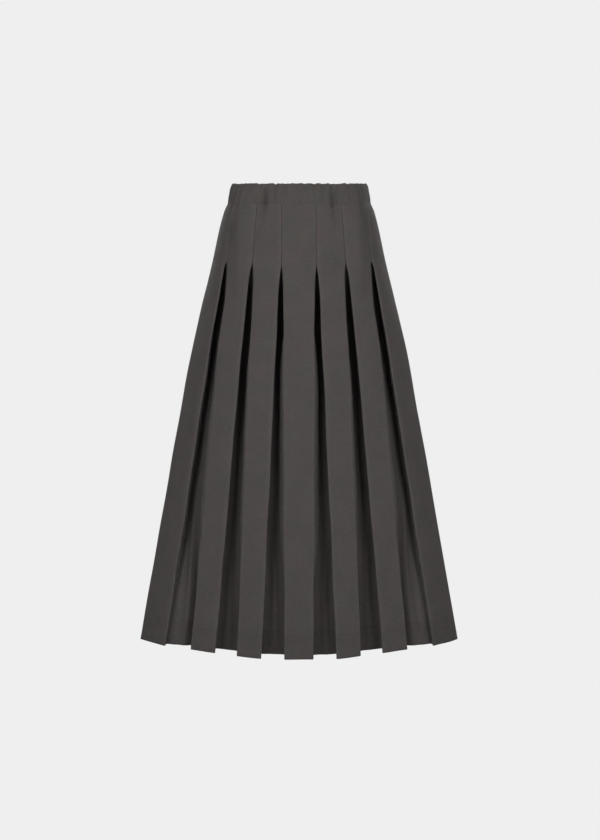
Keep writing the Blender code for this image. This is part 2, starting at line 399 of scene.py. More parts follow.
def opened_share(drop, start=STITCH_END_DROP):
    """How far down the open part of a pleat a drop is, 1 at the hem."""
    return max(0.0, (drop - start) / (HEM_DROP - start))


def half_gap(drop, pleat):
    """Half the distance between the edges of two neighbouring panels."""
    size, length, start = pleat["spring"]
    left = 1.0 - min(1.0, max(0.0, (drop - start) / length))
    sprung = size * (1.0 - left**2)
    rest = (pleat["hem_gap"] - pleat["closed_gap"] - size) * opened_share(drop, start)
    return (pleat["closed_gap"] + sprung + rest) / 2


def straight(start, end, steps):
    """The points between two (arc, inset) points, without the first."""
    shares = np.arange(1, steps + 1)[:, None] / steps
    return np.array(start) + (np.array(end) - np.array(start)) * shares


def turn_points(centre, start, along, radius, angle, steps):
    """A round turn about a centre: start points to its first point, along the way it sets off."""
    angles = np.arange(1, steps + 1)[:, None] / steps * angle
    return centre + radius * (start * np.cos(angles) + along * np.sin(angles))


def near_hem(opened):
    """How far a pleat that is open this far has turned from its shape halfway down to the hem's."""
    return eased(opened, HEM_FOLD_FROM, HEM_FOLD_TO)


def at_depth(opened, at_start, halfway, at_hem):
    """A fold's size where the pleat is open this far, on its way from the start to the hem."""
    swung = 1.0 - (1.0 - min(1.0, opened / SWUNG_BY)) ** SWING_EASE
    return mix(mix(at_start, halfway, swung), at_hem, near_hem(opened))


def fold_stretches(edge, out, reach, swing, radius, back_radius):
    """A panel's pressed edge, its return and the turn to the underlay, from the face inwards.

    out is 1 where the gap lies after the edge and -1 where it lies before it.
    """
    turn = math.pi - swing
    face_end = np.array([edge - out * radius * math.tan(min(turn, math.pi / 2) / 2), 0.0])
    centre = face_end + (0.0, radius)
    edge_arc = turn_points(
        centre, np.array([0.0, -1.0]), np.array([out, 0.0]), radius, turn, EDGE_STEPS
    )
    along = np.array([-out * math.cos(swing), math.sin(swing)])
    length = reach
    if swing > 0.0:
        turned = (radius + back_radius) * (1 + math.cos(swing))
        length += (2 * LAYER_PITCH - turned) / math.sin(swing)
    far = edge_arc[-1] + along * length
    side = np.array([out * math.sin(swing), math.cos(swing)])
    back_arc = turn_points(far + side * back_radius, -side, along, back_radius, turn, BACK_STEPS)
    return face_end, edge_arc, straight(edge_arc[-1], far, RETURN_STEPS), back_arc


class Columns:
    """What lies at each column of a quarter, which is the same at every drop."""

    def __init__(self):
        self.kinds = []
        self.shares = []

    def add(self, kind, pleat, count, shares=None):
        self.kinds += [(kind, pleat)] * count
        self.shares += list(shares if shares is not None else np.arange(1, count + 1) / count)


def quarter_path(oval, drop, columns):
    """The cloth's way from the centre line to the side seam, as rows of (arc, inset)."""
    opened = opened_share(drop)
    settings = bpy.context.scene.skirt_cloth
    flat = LAYER_PITCH / 2
    crisp = at_depth(opened, flat, settings.crisp_radius, settings.crisp_radius)
    back = at_depth(opened, flat, settings.back_radius, settings.back_radius)
    edges = []
    for pleat in PLEATS:
        middle = float(np.interp(drop, PLEAT_PLACES, pleat["breadths"]))
        half = half_gap(drop, pleat)
        edges.append((oval.arc_at(middle - half), oval.arc_at(middle + half)))
    side_half = half_gap(drop, SIDE_PLEAT)
    edges.append((oval.length - side_half, oval.length + side_half))
    starts = [-edges[0][0]] + [after for _, after in edges[:-1]]
    reaches = [
        at_depth(opened, RETURN_SHARE * (before - start), HALFWAY_RETURN, HEM_RETURN)
        for start, (before, _) in zip(starts, edges)
    ]
    face_start = np.zeros(2)
    path = [face_start[None, :]]
    columns.add("face", 0, 1, [0.0])
    for i, pleat in enumerate(PLEATS):
        pleat_opened = opened_share(drop, pleat["spring"][2])
        inner_swing, outer_swing = (
            math.radians(at_depth(pleat_opened, 0, *pleat[fold]))
            for fold in ("inner_fold", "outer_fold")
        )
        roll = at_depth(pleat_opened, flat, *pleat["roll"])
        inner_reach, outer_reach = (
            mix(reach, at_hem, near_hem(pleat_opened))
            for reach, at_hem in zip(reaches[i:i + 2], pleat["hem_returns"])
        )
        face_end, *inner = fold_stretches(edges[i][0], 1, inner_reach, inner_swing, roll, back)
        next_start, *outer = fold_stretches(edges[i][1], -1, outer_reach, outer_swing, crisp, back)
        steps = FACE_STEPS if i else FACE_STEPS // 2
        path += [straight(face_start, face_end, steps), *inner]
        columns.add("face", i, steps)
        for kind, stretch in zip(("edge", "return", "back"), inner):
            columns.add(kind, i, len(stretch))
        underlay = straight(inner[-1][-1], outer[-1][-1], UNDERLAY_STEPS)
        shares = np.arange(1, UNDERLAY_STEPS + 1) / UNDERLAY_STEPS
        underlay[:, 1] += pleat["bow"] * opened * np.sin(math.pi * shares)
        path += [underlay, np.concatenate([next_start[None, :], *outer])[::-1][1:]]
        columns.add("underlay", i, UNDERLAY_STEPS)
        for kind, stretch in zip(("back", "return", "edge"), reversed(outer)):
            columns.add(kind, i, len(stretch))
        face_start = next_start
    side_swing = math.radians(at_depth(opened, 0, *SIDE_PLEAT["fold"]))
    face_end, *fold = fold_stretches(edges[-1][0], 1, reaches[-1], side_swing, crisp, back)
    seam = np.array([oval.length, fold[-1][-1][1]])
    side_steps = UNDERLAY_STEPS // 2
    path += [straight(face_start, face_end, FACE_STEPS), *fold]
    path.append(straight(fold[-1][-1], seam, side_steps))
    columns.add("face", len(PLEATS), FACE_STEPS)
    for kind, stretch in zip(("edge", "return", "back"), fold):
        columns.add(kind, len(PLEATS), len(stretch))
    columns.add("underlay", len(PLEATS), side_steps, np.arange(1, side_steps + 1) / side_steps / 2)
    return np.concatenate(path)


def gathers_round():
    """The waist's troughs all round: the front ones listed, the others spaced like them."""
    draw = np.random.default_rng(GATHER_SEED)
    gathers = [dict(zip(GATHER_COLUMNS, row)) for row in FRONT_GATHERS]
    at = FRONT_GATHERS_REACH
    while at < waist_length() - FRONT_GATHERS_REACH:
        at += draw.uniform(*GATHER_SPACING)
        gathers.append({
            "at": at,
            "depth": draw.uniform(*GATHER_DEPTHS),
            "width": draw.uniform(*GATHER_WIDTHS),
            "at_top": draw.uniform(*GATHERS_AT_TOP),
            "at_seam": draw.uniform(0.0, 1.0) ** SEAM_GATHER_EASE,
            "fades": draw.uniform(*GATHER_FADES),
        })
    return gathers


def waist_length():
    """The length of the waist seam, all round."""
    return 2 * sum(panel_oval(SEAM_DROP, column).length for column in DEPTH_COLUMNS)


def gather_depth(along_waist, fade):
    """How far the cloth is drawn in at these places round the waist.

    fade gives a trough's strength, from its at_top, at_seam and fades.
    """
    length = waist_length()
    drawn = np.zeros_like(along_waist)
    for gather in gathers_round():
        apart = (along_waist - gather["at"] + length / 2) % length - length / 2
        drawn += gather["depth"] * np.exp(-((apart / gather["width"]) ** 2)) * fade(gather)
    return drawn


def ridge(shares, drop):
    """The rise of the ridge over the second panel's face, at these shares of its width."""
    closed = max(0.0, min(1.0, (drop - SEAM_DROP) / (STITCH_END_DROP - SEAM_DROP)))
    at = mix(*RIDGE_AT, closed)
    rising = np.where(shares < at, shares / at, (1.0 - shares) / (1.0 - at))
    rounded = 1.0 - np.sqrt((1.0 - rising) ** 2 + RIDGE_ROUNDING**2)
    fading = 1.0 - eased(drop, STITCH_END_DROP, RIDGE_ENDS_DROP)
    return RIDGE_HEIGHT * fading * np.maximum(rounded, 0.0)


class PanelSheet:
    """One panel's cloth: its points, ring by ring, with what the material needs to know of them."""

    def __init__(self, is_front):
        self.is_front = is_front
        self.depth_column = DEPTH_COLUMNS[0 if is_front else 1]
        seed = FRONT_SEED if is_front else BACK_SEED
        self.face_drift = Drift(seed, 0.090, 0.200)
        self.edge_drift = Drift(seed + 1, 0.400, 0.160)
        self.under_drift = Drift(seed + 2, 0.060, 0.260)
        self.hem_drift = Drift(seed + 3, 0.110, 1.0)
        self.columns = None

    def quarter(self, drop, side):
        """One half of a ring before it is placed: its oval, and the arcs and insets on it."""
        oval = panel_oval(drop, self.depth_column)
        columns = Columns()
        path = quarter_path(oval, drop, columns)
        self.columns = columns
        kinds = np.array([kind for kind, _ in columns.kinds])
        pleats = np.array([pleat for _, pleat in columns.kinds])
        shares = np.array(columns.shares)
        opened = opened_share(drop)
        arcs, insets = path[:, 0].copy(), path[:, 1].copy()

        # loose cloth wanders, and the faces swell out a little
        loose = eased(drop, STITCH_END_DROP, LOOSE_DROP)
        arcs += EDGE_WANDER * loose * self.edge_drift.at(side * arcs, drop)
        insets += FACE_WANDER * loose * self.face_drift.at(side * arcs, drop)
        domed = np.where(pleats == 0, 1.0 - shares**2, np.sin(math.pi * shares))
        crown = np.where(kinds == "face", domed, 0.0)
        insets -= FACE_CROWN * loose * crown
        under = kinds == "underlay"
        span = np.where(under, np.sin(math.pi * shares), 0.0)
        insets += UNDERLAY_WANDER * opened * span * self.under_drift.at(side * arcs, drop)
        insets -= self.soft_folds(side, pleats, shares, drop) * under
        insets -= ridge(shares, drop) * ((kinds == "face") & (pleats == RIDGE_PANEL))

        # the elastic draws the cloth in below the waist seam
        below = drop - SEAM_DROP
        along_waist = side * arcs / oval.length * panel_oval(SEAM_DROP, self.depth_column).length
        if not self.is_front:
            along_waist += waist_length() / 2

        def fade(gather):
            return gather["at_seam"] * math.exp(-((below / gather["fades"]) ** GATHER_FADE_EASE))

        if below < GATHERS_END:
            insets += gather_depth(along_waist, fade)
        insets += SEAM_CREASE * math.exp(-((below / SEAM_CREASE_LENGTH) ** 2))
        above_hem = HEM_DROP - bpy.context.scene.skirt_cloth.hem_turn_up - drop
        insets += HEM_CREASE * crown * math.exp(-((above_hem / HEM_CREASE_LENGTH) ** 2))
        return oval, arcs, insets

    def soft_folds(self, side, pleats, shares, drop):
        """The rise of the soft folds in the underlays, which the back has in other places."""
        rise = np.zeros(len(shares))
        hem_top = HEM_DROP - bpy.context.scene.skirt_cloth.hem_turn_up
        stiffened = eased(drop, hem_top, HEM_DROP)
        for row in UNDERLAY_FOLDS:
            fold = dict(zip(UNDERLAY_FOLD_COLUMNS, row))
            across, turned = fold["across"], fold["side"]
            if not self.is_front:
                across, turned = 1.0 - across * BACK_FOLDS_ACROSS, -turned
            if turned != side:
                continue
            apart = (shares - across) / fold["width"]
            grown = fold["rise"] * eased(drop, fold["starts"], fold["full"])
            rise += np.where(pleats == fold["pleat"], grown * np.exp(-(apart**2)), 0)
        return rise * mix(1.0, FOLDS_LEFT_AT_HEM, stiffened)

    def ring(self, drop, turned_in, lowered):
        """All the points of one ring, from the right side seam round to the left one.

        turned_in moves them through the cloth for the hem's turn-up, and lowered moves them down.
        """
        halves = []
        for side in (-1, 1):
            oval, arcs, insets = self.quarter(drop, side)
            plan = oval.points(arcs, insets) + self.flattening(oval, arcs, drop)
            plan *= (side, 1)
            halves.append(plan[::-1] if side < 0 else plan[1:])
        plan = np.concatenate(halves)
        if turned_in:
            plan = moved_in(plan, turned_in)
        plan[[0, -1], 1] = -SEAM_GAP / 2
        rise = HEM_RISE * eased(np.abs(plan[:, 0]) / oval.half_width, HEM_RISE_FROM, HEM_RISE_TO)
        share = (drop - SEAM_DROP) / (HEM_DROP - SEAM_DROP)
        uneven = HEM_UNEVENNESS * self.hem_drift.at(plan[:, 0] + plan[:, 1], 0.0)
        inside = np.array([kind not in ("face", "edge") for kind, _ in self.columns.kinds])
        uneven += INNER_HEM_RISE * np.concatenate([inside[::-1], inside[1:]])
        heights = share * rise + share**4 * uneven - drop - lowered
        if not self.is_front:
            plan = -plan
        return np.column_stack([plan, heights])

    def flattening(self, oval, arcs, drop):
        """What moves the faces' points from the oval towards straight lines between their edges."""
        base = oval.points(arcs, np.zeros_like(arcs))
        moves = np.zeros_like(base)
        flatness = mix(SEAM_FLATNESS, OPEN_FLATNESS, eased(drop, SEAM_DROP, FLAT_FROM_DROP))
        kinds = self.columns.kinds
        for pleat in range(len(PLEATS) + 1):
            face = [i for i, kind in enumerate(kinds) if kind == ("face", pleat)]
            start = base[face[0] - 1] if pleat else base[face[-1]] * (0, 1)
            shares = np.array(self.columns.shares)[face][:, None]
            chord = mix(start, base[face[-1]], shares)
            moves[face] = flatness * (chord - base[face])
        return moves


def moved_in(plan, distance):
    """A path in plan moved to its left by a distance, which is inwards on a panel."""
    ahead = np.diff(plan, axis=0)
    ahead /= np.hypot(ahead[:, 0], ahead[:, 1])[:, None]
    before = np.concatenate([ahead[:1], ahead])
    after = np.concatenate([ahead, ahead[-1:]])
    left = np.stack([-before[:, 1] - after[:, 1], before[:, 0] + after[:, 0]], axis=1)
    straightness = np.maximum(1.0 + (before * after).sum(axis=1), SHARPEST_TURN)
    return plan + distance * left / straightness[:, None]


def panel_rows():
    """A panel's rows: the drop, how far it is turned in and lowered, and the cloth up to it."""
    settings = bpy.context.scene.skirt_cloth
    drops = [SEAM_DROP]
    for end, count in ROW_RUNS:
        start = drops[-1]
        drops += [mix(start, end, (i + 1) / count) for i in range(count)]
    turn = settings.hem_turn_radius
    drops = [min(drop, HEM_DROP - turn) for drop in drops]
    rows = [(drop, 0.0, 0.0, drop - SEAM_DROP) for drop in drops]
    bottom = HEM_DROP - turn
    for i in range(1, HEM_TURN_STEPS + 1):
        angle = math.pi * i / HEM_TURN_STEPS
        rows.append((
            bottom, turn * (1 - math.cos(angle)), turn * math.sin(angle),
            bottom - SEAM_DROP + turn * angle,
        ))
    inside = rows[-1][3]
    for i in range(1, TURN_UP_STEPS + 1):
        up = (settings.hem_turn_up - turn) * i / TURN_UP_STEPS
        rows.append((bottom - up, 2 * turn, 0.0, inside + up))
    return rows


def cloth_widths(rings, kinds):
    """How far along the cloth each point is, with the panels' faces kept upright on the grain."""
    steps = np.linalg.norm(np.diff(rings[:, :, :2], axis=1), axis=2)
    along = np.pad(np.cumsum(steps, axis=1), ((0, 0), (1, 0)))
    centre = len(kinds) - 1
    middles = []
    for pleat in range(1, len(PLEATS) + 1):
        face = [column for column, kind in enumerate(kinds) if kind == ("face", pleat)]
        middles.append(face[len(face) // 2])
    half = np.array([0, *middles, centre])
    kept = np.concatenate([centre - half[::-1], centre + half[1:]])
    anchors = along[:, kept].mean(axis=0)
    return np.array([np.interp(row, row[kept], anchors) for row in along])


def edge_highlight_mask(kinds):
    """Where the painted highlight goes: 1 on the panels' pressed edges, fading out over the first step
    of what lies beside them.
    """
    half = np.array([1.0 if kind == "edge" else 0.0 for kind, _ in kinds])
    beside = np.maximum(np.roll(half, 1), np.roll(half, -1)) * BESIDE_EDGE
    half = np.maximum(half, beside)
    return np.concatenate([half[::-1], half[1:]])


def grid_mesh(name, rings, grain, masks):
    """A sheet of squares through the rings' points, with its grain as a UV map and its masks.

    The rings run down the outside of the cloth, and their points run to the left seen from outside.
    """
    rows, columns = rings.shape[0], rings.shape[1]
    sheet = bmesh.new()
    bmesh.ops.create_grid(sheet, x_segments=columns - 1, y_segments=rows - 1, size=1.0)
    mesh = bpy.data.meshes.new(name)
    sheet.to_mesh(mesh)
    sheet.free()
    flat = np.empty(len(mesh.vertices) * 3)
    mesh.vertices.foreach_get("co", flat)
    flat = flat.reshape(-1, 3)
    column = np.rint((flat[:, 0] + 1) / 2 * (columns - 1)).astype(int)
    row = np.rint((1 - flat[:, 1]) / 2 * (rows - 1)).astype(int)
    mesh.vertices.foreach_set("co", rings[row, column].ravel())
    corners = np.empty(len(mesh.loops), dtype=int)
    mesh.loops.foreach_get("vertex_index", corners)
    layer = mesh.uv_layers.new(name=WEAVE_UV)
    layer.uv.foreach_set("vector", grain[row, column][corners].ravel())
    for mask_name, values in masks.items():
        mask = mesh.attributes.new(mask_name, "FLOAT", "POINT")
        mask.data.foreach_set("value", values[row, column])
    mesh.shade_smooth()
    mesh.update()
    return mesh


def add_object(name, data):
    """A new object in the scene."""
    made = bpy.data.objects.new(name, data)
    bpy.context.scene.collection.objects.link(made)
    return made


def add_piece(name, mesh, material, thickness):
    """A finished piece of cloth with its thickness."""
    mesh.materials.append(material)
    piece = add_object(name, mesh)
    wall = piece.modifiers.new("cloth_thickness", "SOLIDIFY")
    wall.thickness = thickness
    wall.offset = 0.0
    return piece


def make_panel(name, is_front, material):
    """One pleated panel, its width at the seam and at the hem, and its length, laid flat."""
    settings = bpy.context.scene.skirt_cloth
    sheet = PanelSheet(is_front)
    rows = panel_rows()
    rings = np.array([sheet.ring(drop, inwards, lowered) for drop, inwards, lowered, _ in rows])
    kinds = sheet.columns.kinds
    widths = cloth_widths(rings, kinds)
    lengths = np.array([length for *_, length in rows])
    grain = np.stack([widths, -np.broadcast_to(lengths[:, None], widths.shape)], axis=2)
    # painted shade on the doubled hem: strongest at its stitches, fading along the cloth below them
    below = lengths - (HEM_DROP - SEAM_DROP - settings.hem_turn_up)
    turned = np.where(below > 0, np.exp(-np.maximum(below, 0) / HEM_SHADE_LENGTH), 0)
    masks = {
        # where a highlight is painted on the pressed edges
        EDGE_HIGHLIGHT: np.broadcast_to(edge_highlight_mask(kinds), widths.shape),
        HEM_SHADE_MASK: np.broadcast_to(turned[:, None], widths.shape),
    }
    mesh = grid_mesh(name, rings, grain, masks)
    panel = add_piece(name, mesh, material, settings.thickness)
    panel_lengths = np.linalg.norm(np.diff(rings, axis=1), axis=2).sum(axis=1)
    return panel, float(panel_lengths[0]), float(panel_lengths.max()), float(lengths[-1])


def band_profile():
    """The casing's section from the seam up its outside, over its top and down its inside.

    Each point is a height and an inset. The heights of the band's lower and upper edge follow.
    """
    settings = bpy.context.scene.skirt_cloth
    half_wall = settings.band_thickness / 2
    low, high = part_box("waistband")[0].z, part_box("waistband")[1].z
    top = high - half_wall
    points = []
    for share in BAND_ROWS:
        puff = settings.band_puff * math.sin(math.pi * share)
        tucked = settings.seam_tuck * (1 - share) ** 6
        rolled = max(0.0, (share - BAND_ROLLS_FROM) / (1.0 - BAND_ROLLS_FROM)) ** 2
        points.append((mix(low, top, share), tucked + settings.edge_roll * rolled - puff))
    for i in range(1, BAND_TURN_STEPS):
        angle = math.pi * i / BAND_TURN_STEPS
        inset = settings.edge_roll + half_wall * (1 - math.cos(angle))
        points.append((top + half_wall * math.sin(angle), inset))
    for i in range(BAND_INSIDE_STEPS + 1):
        rolled = settings.edge_roll * max(0.0, 1.0 - i / 2) ** 2
        points.append((mix(top, low, i / BAND_INSIDE_STEPS), 2 * half_wall + rolled))
    return points, low, high


def ridge_on_band(from_centre, on_front, ovals):
    """How far the panels' ridges push the band out, at each of its columns."""
    heights = np.zeros(len(from_centre))
    for on_side, oval in zip((on_front, ~on_front), ovals):
        start, end = (
            oval.arc_at(pleat["breadths"][0] + toward * half_gap(SEAM_DROP, pleat))
            for pleat, toward in zip(PLEATS[RIDGE_PANEL - 1:], (1, -1))
        )
        shares = (from_centre - start) / (end - start)
        on_panel = on_side & (shares > 0.0) & (shares < 1.0)
        heights[on_panel] = ridge(shares[on_panel], SEAM_DROP)
    return heights


def make_waistband(name, material):
    """The gathered casing, one strip joined at the centre back, and its flat width and length."""
    settings = bpy.context.scene.skirt_cloth
    profile, low, high = band_profile()
    length = waist_length()
    along_waist = np.linspace(-length / 2, length / 2, BAND_COLUMNS + 1)
    ruffle = Drift(BAND_SEED, 0.011, 0.030)
    lean = Drift(BAND_SEED + 1, 0.060, 0.040)
    seam_ovals = [panel_oval(SEAM_DROP, column) for column in DEPTH_COLUMNS]
    front_length = seam_ovals[0].length
    from_front, from_back = np.abs(along_waist), length / 2 - np.abs(along_waist)
    on_front = from_front <= front_length
    joined = eased(from_back, 0.0, BAND_JOIN_REACH)
    pushed = ridge_on_band(np.where(on_front, from_front, from_back), on_front, seam_ovals)
    mirrored = np.stack([np.sign(along_waist), np.ones(BAND_COLUMNS + 1)], axis=1)
    rings = []
    travelled = [0.0]
    for i, (z, inset) in enumerate(profile):
        share = (z - low) / (high - low)
        half_width = mix(seam_ovals[0].half_width, BAND_TOP_OVAL[0], share)
        front_oval, back_oval = (
            Oval(half_width, mix(oval.depth, top_depth, share))
            for oval, top_depth in zip(seam_ovals, BAND_TOP_OVAL[1:])
        )

        def fade(gather):
            return mix(gather["at_seam"], gather["at_top"], share)

        leaning = along_waist + BAND_LEAN * lean.at(along_waist, z) * share * joined
        drawn = gather_depth(leaning, fade)
        ruffled = BAND_RUFFLE * smooth_step(share * RUFFLE_GROWTH)
        drawn += ruffled * ruffle.at(along_waist, z) * joined
        insets = inset + drawn - pushed * (1.0 - share)
        front_arcs = from_front / front_length * front_oval.length
        back_arcs = from_back / (length / 2 - front_length) * back_oval.length
        front = front_oval.points(front_arcs, insets)
        back = back_oval.points(back_arcs, insets) * (1, -1)
        plan = np.where(on_front[:, None], front, back) * mirrored
        dips = EDGE_DIP * drawn * eased(share, DIPS_FROM, 1.0)
        rings.append(np.column_stack([plan, z - dips]))
        if i:
            step = math.hypot(z - profile[i - 1][0], inset - profile[i - 1][1])
            travelled.append(travelled[-1] + step)
    rings = np.array(rings)[::-1]
    travelled = np.array(travelled)[::-1]
    widths = np.broadcast_to(along_waist * settings.band_fullness, rings.shape[:2])
    grain = np.stack([widths, np.broadcast_to(travelled[:, None], rings.shape[:2])], axis=2)
    heights = np.array([z for z, _ in profile])[::-1]
    # a painted highlight along the band's top edge
    top_highlight = np.exp(-(((heights - high) / BAND_EDGE_HEIGHT) ** 2))
    masks = {
        EDGE_HIGHLIGHT: np.broadcast_to(top_highlight[:, None], rings.shape[:2]),
        HEM_SHADE_MASK: np.zeros(rings.shape[:2]),
    }
    # the strip runs from the inside over the top to the outside, so its outer side faces out
    mesh = grid_mesh(name, rings, grain, masks)
    mesh.flip_normals()
    strip = bmesh.new()
    strip.from_mesh(mesh)
    bmesh.ops.remove_doubles(strip, verts=strip.verts, dist=BAND_JOIN_DISTANCE)
    strip.to_mesh(mesh)
    strip.free()
    band = add_piece(name, mesh, material, settings.thickness * BAND_CLOTH_SHARE)
    return band, length * settings.band_fullness, float(travelled[0])


class Wire:
    """A shader socket that can be used in sums, so that the maths reads as it would on paper."""

    def __init__(self, bench, socket):
        self.bench = bench
        self.socket = socket

    def math(self, operation, *values):
        numbers = dict(enumerate(values))
        return self.bench.node("ShaderNodeMath", {"operation": operation}, numbers)

    def __add__(self, other):
        return self.math("ADD", self, other)

    __radd__ = __add__

    def __sub__(self, other):
        return self.math("SUBTRACT", self, other)

    def __rsub__(self, other):
        return self.math("SUBTRACT", other, self)

    def __mul__(self, other):
        return self.math("MULTIPLY", self, other)

    def sine(self):
        return self.math("SINE", self)

    def clamped(self, low, high):
        return self.math("MINIMUM", self.math("MAXIMUM", self, low), high)


class Bench:
    """A material's nodes."""

    def __init__(self, material):
        material.use_nodes = True
        self.tree = material.node_tree
        self.tree.nodes.clear()

    def node(self, kind, settings, sockets, output=0):
        """A node of this kind, its settings first and then the values or links of its sockets."""
        made = self.tree.nodes.new(kind)
        for name, value in settings.items():
            setattr(made, name, value)
        for name, value in sockets.items():
            if isinstance(value, Wire):
                self.tree.links.new(value.socket, made.inputs[name])
            else:
                made.inputs[name].default_value = value
        return Wire(self, made.outputs[output]) if made.outputs else None

    def colour_mix(self, factor, first, second, blend="MIX"):
        return self.node(
            "ShaderNodeMix", {"data_type": "RGBA", "blend_type": blend},
            {0: factor, 6: first, 7: second}, output=2,
        )

    def noise(self, grain, across, down, detail, seed):
        """Noise on the cloth's grain, with this many lumps to a metre across it and down."""
        stretched = self.node(
            "ShaderNodeVectorMath", {"operation": "MULTIPLY"}, {0: grain, 1: (across, down, 1.0)}
        )
        return self.node(
            "ShaderNodeTexNoise", {"noise_dimensions": "3D"},
            {
                "Vector": self.node(
                    "ShaderNodeVectorMath", {"operation": "ADD"}, {0: stretched, 1: (0, 0, seed)}
                ),
                "Scale": 1.0,
                "Detail": detail,
                "Roughness": 0.5,
            },
        )


def cloth_material(name, colour):
    """A matte plain weave with slubs across and along, with a painted highlight on its pressed edges
    and painted shade below the hem's stitches.
    """
    settings = bpy.context.scene.skirt_cloth
    material = bpy.data.materials.new(name)
    bench = Bench(material)
    grain = bench.node("ShaderNodeUVMap", {"uv_map": WEAVE_UV}, {})
    across = bench.node("ShaderNodeSeparateXYZ", {}, {0: grain}, output=0)
    down = bench.node("ShaderNodeSeparateXYZ", {}, {0: grain}, output=1)
    # the mask of the painted highlight on the pressed edges and the band's top
    edge = bench.node("ShaderNodeAttribute", {"attribute_name": EDGE_HIGHLIGHT}, {}, output=2)
    # the mask of the painted shade below the hem's stitches
    hem = bench.node("ShaderNodeAttribute", {"attribute_name": HEM_SHADE_MASK}, {}, output=2)

    threads = 2 * math.pi / settings.thread_pitch
    weave = (across * threads).sine() * (down * threads).sine()
    weft_slubs = bench.noise(grain, *WEFT_SLUBS)
    warp_slubs = bench.noise(grain, *WARP_SLUBS)
    long_slubs = bench.noise(grain, *LONG_SLUBS)
    fibres = bench.noise(grain, *FIBRES)
    patches = bench.noise(grain, *PATCHES)
    warmth = bench.noise(grain, *WARMTH)

    slub = (weft_slubs - 0.5) * 0.9 + (warp_slubs - 0.5) * 0.5 + (long_slubs - 0.5) * 0.6
    tone = 1.0 + slub * settings.slub_contrast + (fibres - 0.5) * 0.16 + (patches - 0.5) * 0.24
    # a painted highlight on the pressed edges and the band's top, and painted shade below the hem's
    # stitches
    tone = tone + weave * 0.05 + edge * 0.10 - hem * settings.hem_painted_shade
    warm = (warmth - 0.35).clamped(0.0, 0.3) * 3.3
    tinted = bench.colour_mix(warm, tuple(settings.cool_tint), tuple(settings.warm_tint))
    base = bench.colour_mix(1.0, tuple(colour) + (1.0,), tinted, blend="MULTIPLY")
    shaded = bench.node(
        "ShaderNodeVectorMath", {"operation": "SCALE"}, {0: base, "Scale": tone.clamped(0.5, 1.6)}
    )
    relief = weave * 0.5 + slub * 1.2 + (fibres - 0.5) * 0.6
    normal = bench.node(
        "ShaderNodeBump", {}, {"Strength": 1.0, "Distance": settings.weave_relief, "Height": relief}
    )
    surface = bench.node(
        "ShaderNodeBsdfPrincipled", {},
        {
            "Base Color": shaded,
            "Roughness": (0.92 - (fibres - 0.5) * 0.1).clamped(0.7, 1.0),
            "Specular IOR Level": 0.25,
            "Sheen Weight": 0.08,
            "Sheen Roughness": 0.5,
            "Normal": normal,
        },
    )
    bench.node("ShaderNodeOutputMaterial", {}, {"Surface": surface})
    return material


def length_setting(label, description, default, low, high, precision=4):
    """A setting that is a length between two bounds."""
    return FloatProperty(
        name=label, description=description, default=default, min=low, max=high,
        unit="LENGTH", precision=precision,
    )


class SkirtCloth(bpy.types.PropertyGroup):
    """The cloth's sizes and colours."""

    thickness: length_setting(
        "Cloth thickness", "Thickness of the skirt's cloth", 0.0010, 0.0003, 0.002
    )
    crisp_radius: length_setting(
        "Pressed edge radius", "Roundness of the pleats' crisp edges", 0.0011, 0.0005, 0.006
    )
    back_radius: length_setting(
        "Inner fold radius", "Roundness of the folds inside the pleats", 0.0024, 0.0005, 0.008
    )
    hem_turn_radius: length_setting(
        "Hem turn radius", "Roundness of the hem's turned edge", 0.0005, 0.0004, 0.003
    )
    hem_turn_up: length_setting(
        "Hem turn-up", "Height of the cloth turned up inside the hem", 0.044, 0.01, 0.08, 3
    )
    band_thickness: length_setting(
        "Waistband thickness", "Thickness of the casing with its elastic", 0.0026, 0.001, 0.006
    )
    band_puff: length_setting(
        "Waistband puff", "How far the casing swells out at half its height", 0.0006, 0.0, 0.004
    )
    edge_roll: length_setting(
        "Top edge roll", "How far the casing's top edge rolls in", 0.0014, 0.0, 0.004
    )
    seam_tuck: length_setting(
        "Seam tuck", "How far the waist seam is drawn in", 0.0001, 0.0, 0.004
    )
    band_fullness: FloatProperty(
        name="Waistband fullness", description="Cloth in the casing for each length of waist",
        default=1.2, min=1.0, max=2.0,
    )
    thread_pitch: length_setting(
        "Thread pitch", "Two threads of the weave, side by side", 0.0011, 0.0003, 0.003
    )
    weave_relief: length_setting(
        "Weave relief", "Height of the weave and its slubs", 0.00016, 0.0, 0.001, 5
    )
    slub_contrast: FloatProperty(
        name="Slub contrast", description="How much the slubs vary in tone",
        default=0.34, min=0.0, max=2.0,
    )
    # how much painted shade is taken off the cloth's tone below the hem's stitches
    hem_painted_shade: FloatProperty(
        name="Hem darkening", description="How much darker the doubled cloth of the hem is",
        default=0.10, min=0.0, max=0.5,
    )
    skirt_colour: FloatVectorProperty(
        name="Skirt colour", description="Colour of the skirt's cloth",
        default=(0.078, 0.0705, 0.068), min=0.0, max=1.0, size=3, subtype="COLOR",
    )
    band_colour: FloatVectorProperty(
        name="Waistband colour", description="Colour of the waistband's cloth",
        default=(0.076, 0.069, 0.066), min=0.0, max=1.0, size=3, subtype="COLOR",
    )
    cool_tint: FloatVectorProperty(
        name="Cool tint", description="Tint of the cloth's cooler patches",
        default=(0.96, 1.005, 0.975, 1.0), min=0.0, max=2.0, size=4, subtype="COLOR",
    )
    warm_tint: FloatVectorProperty(
        name="Warm tint", description="Tint of the cloth's warmer patches",
        default=(1.045, 0.985, 1.0, 1.0), min=0.0, max=2.0, size=4, subtype="COLOR",
    )


